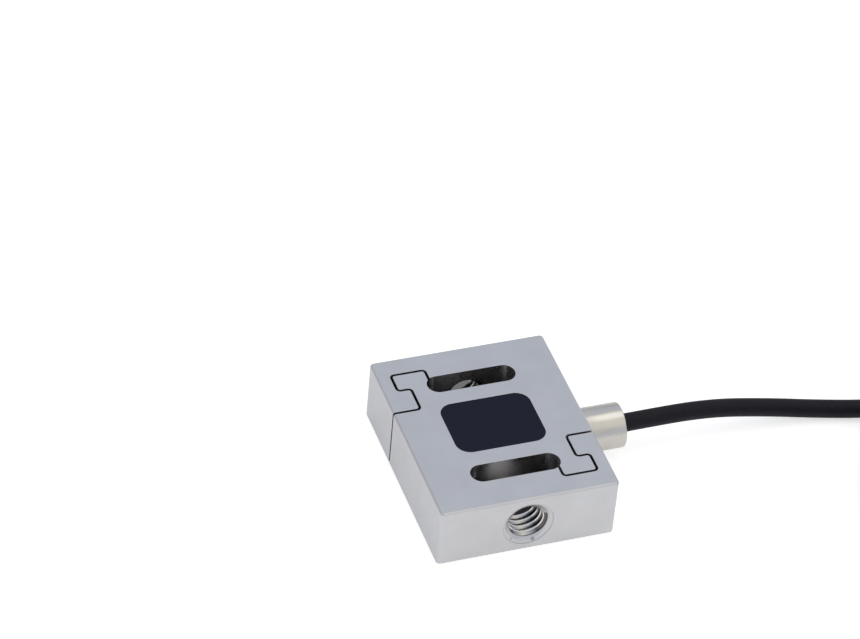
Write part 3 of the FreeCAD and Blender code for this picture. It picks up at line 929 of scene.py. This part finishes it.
class LOADCELL_OT_gland(Operator):
    """Turned cable gland pressed into the body's side"""

    bl_idname = "loadcell.gland"
    bl_label = "Cable gland"

    def execute(self, context):
        cable = context.scene.loadcell_cable
        colours = context.scene.loadcell_finish
        base = Vector((BODY_HIGH.x, 0, AXIS_HEIGHT))
        spigot = base.x - GLAND_LOW.x
        length = GLAND_MOUTH.x - base.x
        shoulder = length - cable.jacket_end
        outer, bore, core = cable.gland_radius, cable.gland_bore, cable.core_bore
        profile = ((-spigot, core), (-spigot, cable.spigot_radius), (0, cable.spigot_radius),
                   (0, outer), (length, outer), (length, bore),
                   (shoulder, bore), (shoulder, core), (-spigot, core))
        gland = add_turned("turned_gland", base, AHEAD, profile, sides=128)
        tidy_mesh(gland)
        for distance, radius, rounding, segments in (
                (length, outer, cable.gland_rounding, 6), (length, bore, 0.1 * MM, 3),
                (0, outer, 0.05 * MM, 2)):
            bevel(gland, rounding, segments,
                  lambda place, along: self.on_rim(place, along, distance, radius))
        smooth_flat(gland)
        place_piece(gland, "gland_nickel", turned_nickel(colours), "cable_gland")
        return {"FINISHED"}

    def on_rim(self, place, along, distance, radius):
        """Whether an edge lies on the ring at a distance from the body's side."""
        from_middle = math.hypot(place.y, place.z - AXIS_HEIGHT)
        return (abs(place.x - BODY_HIGH.x - distance) < SAME_PLACE and abs(along.x) < ACROSS
                and abs(from_middle - radius) < SAME_FACE / 2)


class LOADCELL_OT_cable(Operator):
    """The cable: out of the gland, round its coil and on to the sleeve, in one line"""

    bl_idname = "loadcell.cable"
    bl_label = "Cable"

    def execute(self, context):
        cable = context.scene.loadcell_cable
        colours = context.scene.loadcell_finish
        points = [*cable_route(cable), *coil_points(cable), *tail_route()]
        line = add_line("cable_line", points, cable.diameter)
        place_piece(line, "cable_jacket", grainy_finish(colours, "cable_jacket"),
                    "signal_cable", "cable_coil", "cable_tail")
        carried = ["turned_gland", "tie_strap", "shrink_sleeve", "tinned_tips", "shield_strands"]
        carried += ["lead_wire_" + colour for colour in LEAD_ROUTES]
        return {"FINISHED"}


class LOADCELL_OT_spring_body(Operator):
    """One-piece steel body with its window, slots, hooked gaps and tapped holes"""

    bl_idname = "loadcell.spring_body"
    bl_label = "Spring body"

    def execute(self, context):
        sizes = context.scene.loadcell_body
        colours = context.scene.loadcell_finish
        body = add_rounded_block("spring_block", BODY_LOW, BODY_HIGH, sizes.body_corner)
        bevel(body, sizes.edge_break, 1, lambda place, along: abs(along.z) < ACROSS)
        self.cut_through(body, sizes)
        self.cut_gland_seat(body, sizes)
        for side in (-1, 1):
            self.cut_tapped_hole(body, sizes, side)
        edit_all(body)
        bpy.ops.mesh.remove_doubles(threshold=MERGED)
        bpy.ops.mesh.dissolve_limited(angle_limit=math.radians(0.5))
        soften(body, sizes.edge_softness)
        place_piece(body, "body_steel", satin_steel(colours), "load_body")
        self.finish_cut_walls(body, sizes, colours)
        thread = self.thread_finish(colours)
        sink = self.sink_finish(colours)
        dress_faces(body, thread, lambda place, normal: self.in_hole(sizes, place))
        dress_faces(body, sink, lambda place, normal: self.on_sink(sizes, place))
        for name, side in (("thread_front", -1), ("thread_rear", 1)):
            ridge = self.add_thread(name, sizes, side)
            place_piece(ridge, "body_steel", thread)
            dress_faces(ridge, sink, lambda place, normal: self.on_sink(sizes, place))
        return {"FINISHED"}

    def thread_finish(self, colours):
        """Painted highlight on the crests, painted shade on the flanks and roots, and a painted
        highlight band along the bottom of the hole.
        """
        shades = ((1.69, 1.0), (1.75, 0.18), (2.03, 0.10))
        bottom = Vector((-0.1 * MM, 0, AXIS_HEIGHT - 1.85 * MM))
        return steel_with_painted_shade_and_chips("thread_steel", colours.thread_steel, (0.14, 0.22), shades,
                          painted_highlight=(bottom, 1.5 * MM, 0.9))

    def sink_finish(self, colours):
        """Like the body, with a darker rim of painted shade and two dark chips under the front hole."""
        shades = ((2.38, 1.0), (2.44, 0.78), (2.5, 0.78))
        chips = [(Vector((along * MM, BODY_LOW.y + 0.2 * MM, AXIS_HEIGHT - down * MM)), radius * MM)
                 for along, down, radius in ((-1.58, 1.68, 0.16), (0.65, 2.2, 0.26))]
        return steel_with_painted_shade_and_chips("countersink_steel", colours.steel, (0.36, 0.44), shades, chips)

    def hole_place(self, place):
        """How deep a point is behind the nearer end face, and how far from the holes' axis."""
        return BODY_HIGH.y - abs(place.y), math.hypot(place.x, place.z - AXIS_HEIGHT)

    def on_sink(self, sizes, place):
        """Whether a point lies on a countersink."""
        depth, from_axis = self.hole_place(place)
        wide = sizes.thread_radius + sizes.sink_width
        slope = sizes.sink_depth / sizes.sink_width
        return from_axis < wide and abs(depth - (wide - from_axis) * slope) < SAME_FACE

    def in_hole(self, sizes, place):
        """Whether a point lies on or inside a tapped hole's wall."""
        depth, from_axis = self.hole_place(place)
        before_slot = abs(place.y) > sizes.slot_offset + sizes.slot_width / 2
        return before_slot and depth > SAME_FACE and from_axis < sizes.thread_radius + SAME_FACE / 2

    def finish_cut_walls(self, body, sizes, colours):
        """Gives the upright walls inside the body a dull finish, and its slots a smoother one."""
        inside = BODY_HIGH - Vector((0.5, 0.5, 0)) * MM
        slot_end = sizes.slot_length / 2 + 0.05 * MM
        slot_side = sizes.slot_width / 2 + 0.05 * MM

        def is_cut(place, normal):
            return abs(normal.z) < STEEP and abs(place.x) < inside.x and abs(place.y) < inside.y

        def is_slot(place, normal):
            in_slot = abs(place.x) < slot_end and abs(abs(place.y) - sizes.slot_offset) < slot_side
            return in_slot and is_cut(place, normal)

        dress_faces(body, grainy_finish(colours, "wire_cut_steel"), is_cut)
        dress_faces(body, grainy_finish(colours, "slot_steel"), is_slot)

    def cut_through(self, body, sizes):
        """The window, the two slots and the two gaps, from face to face."""
        low, high = BODY_LOW.z - MM, BODY_HIGH.z + MM
        reach = Vector((sizes.window_length / 2, sizes.window_width / 2, 0))
        cut(body, add_rounded_block("tool", low * UP - reach, high * UP + reach, sizes.window_corner))
        for side in (-1, 1):
            slot = Vector((0, side * sizes.slot_offset, low))
            cut(body, add_obround(slot, high - low, sizes.slot_length, sizes.slot_width))
            route = [Vector((-side * along * MM, -side * across * MM, low))
                     for along, across in GAP_CORNERS]
            cut(body, add_gap_cutter(route, high - low, sizes.gap_width, sizes.gap_corner))

    def cut_gland_seat(self, body, sizes):
        """The seat for the gland, and the hole for its cores into the window."""
        face = Vector((BODY_HIGH.x, 0, AXIS_HEIGHT))
        seat = face - sizes.seat_depth * AHEAD
        window = face - (face.x - sizes.window_length / 2 + 0.5 * MM) * AHEAD
        cut(body, add_round(seat, face + MM * AHEAD, sizes.seat_radius),
            add_round(window, face, sizes.passage_radius, sides=48))

    def hole_mouth(self, side):
        """The middle of a tapped hole's mouth, and the way into the body."""
        end = BODY_LOW.y if side < 0 else BODY_HIGH.y
        return Vector((0, end, AXIS_HEIGHT)), Vector((0, -side, 0))

    def cut_tapped_hole(self, body, sizes, side):
        """The hole to the slot, with its countersink."""
        mouth, inward = self.hole_mouth(side)
        slot = mouth + (abs(mouth.y) - sizes.slot_offset) * inward
        cut(body, add_round(mouth - MM * inward, slot, sizes.thread_radius),
            self.add_sink_tool(sizes, side))

    def add_sink_tool(self, sizes, side):
        """The countersink's cone, from in front of the mouth to its point inside."""
        mouth, inward = self.hole_mouth(side)
        wide = sizes.thread_radius + sizes.sink_width
        sloping = sizes.sink_depth / sizes.sink_width * inward
        return add_round(mouth - MM * sloping, mouth + wide * sloping, wide + MM, 0.0)

    def add_thread(self, name, sizes, side):
        """The thread's ridge, rooted in the hole's wall and cut off by the countersink and the slot."""
        mouth, inward = self.hole_mouth(side)
        pitch = sizes.thread_pitch
        root = sizes.thread_radius + 0.03 * MM
        depth = root - sizes.thread_crest
        run = abs(mouth.y) - sizes.slot_offset + sizes.slot_width / 2
        start = mouth.copy()
        start.y = min(mouth.y, mouth.y + run * inward.y) - pitch
        deselect()
        bpy.ops.mesh.primitive_plane_add(size=depth, location=start)
        ridge = bpy.context.object
        for way, share in ((1, ROOT_SHARE), (-1, CREST_SHARE)):
            pick(ridge, "VERT", lambda place, normal: way * place.x > 0)
            bpy.ops.transform.resize(value=(1, share * pitch / depth, 1), center_override=start)
        edit_all(ridge)
        bpy.ops.transform.translate(value=(root - depth / 2) * AHEAD)
        bpy.ops.mesh.delete(type="ONLY_FACE")
        apply_modifier(ridge, "SCREW", axis="Y", angle=math.tau, screw_offset=pitch,
                       iterations=math.ceil(run / pitch) + 2, steps=72, render_steps=72,
                       use_merge_vertices=False)
        settle(name)
        close_ends(ridge)
        wall = mouth + (abs(mouth.y) - sizes.slot_offset - sizes.slot_width / 2) * inward
        outside = mouth - 3 * pitch * inward
        wide = root + MM
        cut(ridge, add_round(wall, wall + run * inward, wide, sides=48),
            add_round(outside, mouth + 0.01 * MM * inward, wide, sides=48),
            self.add_sink_tool(sizes, side))
        edit_all(ridge)
        bpy.ops.mesh.quads_convert_to_tris()
        bpy.ops.mesh.dissolve_degenerate(threshold=SAME_PLACE)
        smooth(ridge, 35)
        return ridge


class LOADCELL_OT_window_seals(Operator):
    """Cast seals over both ends of the gauge window"""

    bl_idname = "loadcell.window_seals"
    bl_label = "Window seals"

    def execute(self, context):
        sizes = context.scene.loadcell_body
        colours = context.scene.loadcell_finish
        resin = grainy_finish(colours, "cast_resin")
        sag = ((0.06, 0.0), (0.12, -0.012), (0.35, -0.010), (0.8, -0.004))
        for name, node, facing in (("cast_seal_top", "window_seal_top", 1),
                                   ("cast_seal_bottom", "window_seal_bottom", -1)):
            low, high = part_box(node)
            seal = add_rounded_block(name, low, high, sizes.window_corner - sizes.seal_clearance)
            pick(seal, "FACE", lambda place, normal: facing * normal.z > ALONG)
            for width, drop in sag:
                bpy.ops.mesh.inset(thickness=width * MM, depth=drop * MM)
            smooth(seal, 40)
            place_piece(seal, "seal_resin", resin, node)
        return {"FINISHED"}


class LOADCELL_OT_inner_pieces(Operator):
    """Finishes of the gauges, leads, board, cores and potting inside the body"""

    bl_idname = "loadcell.inner_pieces"
    bl_label = "Inner pieces"

    def execute(self, context):
        colours = context.scene.loadcell_finish
        gauges = [f"{end}_{side}" for end in ("front", "rear") for side in ("left", "right")]
        dressed = {
            "bare_copper": ["board_pads", *("gauge_leads_" + gauge for gauge in gauges)],
            "gauge_film": ["gauge_backing_" + gauge for gauge in gauges],
            "gauge_foil": ["gauge_foil_" + gauge for gauge in gauges],
            "laminate": ["terminal_board"],
            "potting_resin": ["gland_potting"],
            "resistor_chip": ["balance_resistor", "span_resistor"],
            "solder": ["board_solder", "gauge_solder"],
        }
        for colour in LEAD_ROUTES:
            dressed["core_insulation_" + colour] = ["core_" + colour]
        for finish, nodes in dressed.items():
            material = grainy_finish(colours, finish)
            for node in nodes:
                dress(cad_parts[node], material)
        return {"FINISHED"}


class LOADCELL_PT_panel(Panel):
    """Lists the operators in the order in which they are run"""

    bl_idname = "LOADCELL_PT_panel"
    bl_label = "Load Cell"
    bl_space_type = "VIEW_3D"
    bl_region_type = "UI"
    bl_category = "Load Cell"

    def draw(self, context):
        for step in STEPS:
            self.layout.operator(step.bl_idname)


STEPS = (
    LOADCELL_OT_stage,
    LOADCELL_OT_far_end,
    LOADCELL_OT_coil_tie,
    LOADCELL_OT_gland,
    LOADCELL_OT_cable,
    LOADCELL_OT_spring_body,
    LOADCELL_OT_window_seals,
    LOADCELL_OT_inner_pieces,
)
GROUPS = {
    "loadcell_stage": StageSettings,
    "loadcell_body": BodySizes,
    "loadcell_cable": CableSizes,
    "loadcell_finish": FinishColours,
}


def register():
    for cls in (*GROUPS.values(), *STEPS, LOADCELL_PT_panel):
        bpy.utils.register_class(cls)
    for name, group in GROUPS.items():
        setattr(bpy.types.Scene, name, PointerProperty(type=group))


def unregister():
    for name in GROUPS:
        delattr(bpy.types.Scene, name)
    for cls in (LOADCELL_PT_panel, *reversed(STEPS), *reversed(GROUPS.values())):
        bpy.utils.unregister_class(cls)


def main():
    """Models every piece."""
    register()
    bpy.ops.loadcell.stage()
    bpy.ops.loadcell.far_end()
    bpy.ops.loadcell.coil_tie()
    bpy.ops.loadcell.gland()
    bpy.ops.loadcell.cable()
    bpy.ops.loadcell.spring_body()
    bpy.ops.loadcell.window_seals()
    bpy.ops.loadcell.inner_pieces()


if __name__ == "__main__":
    main()
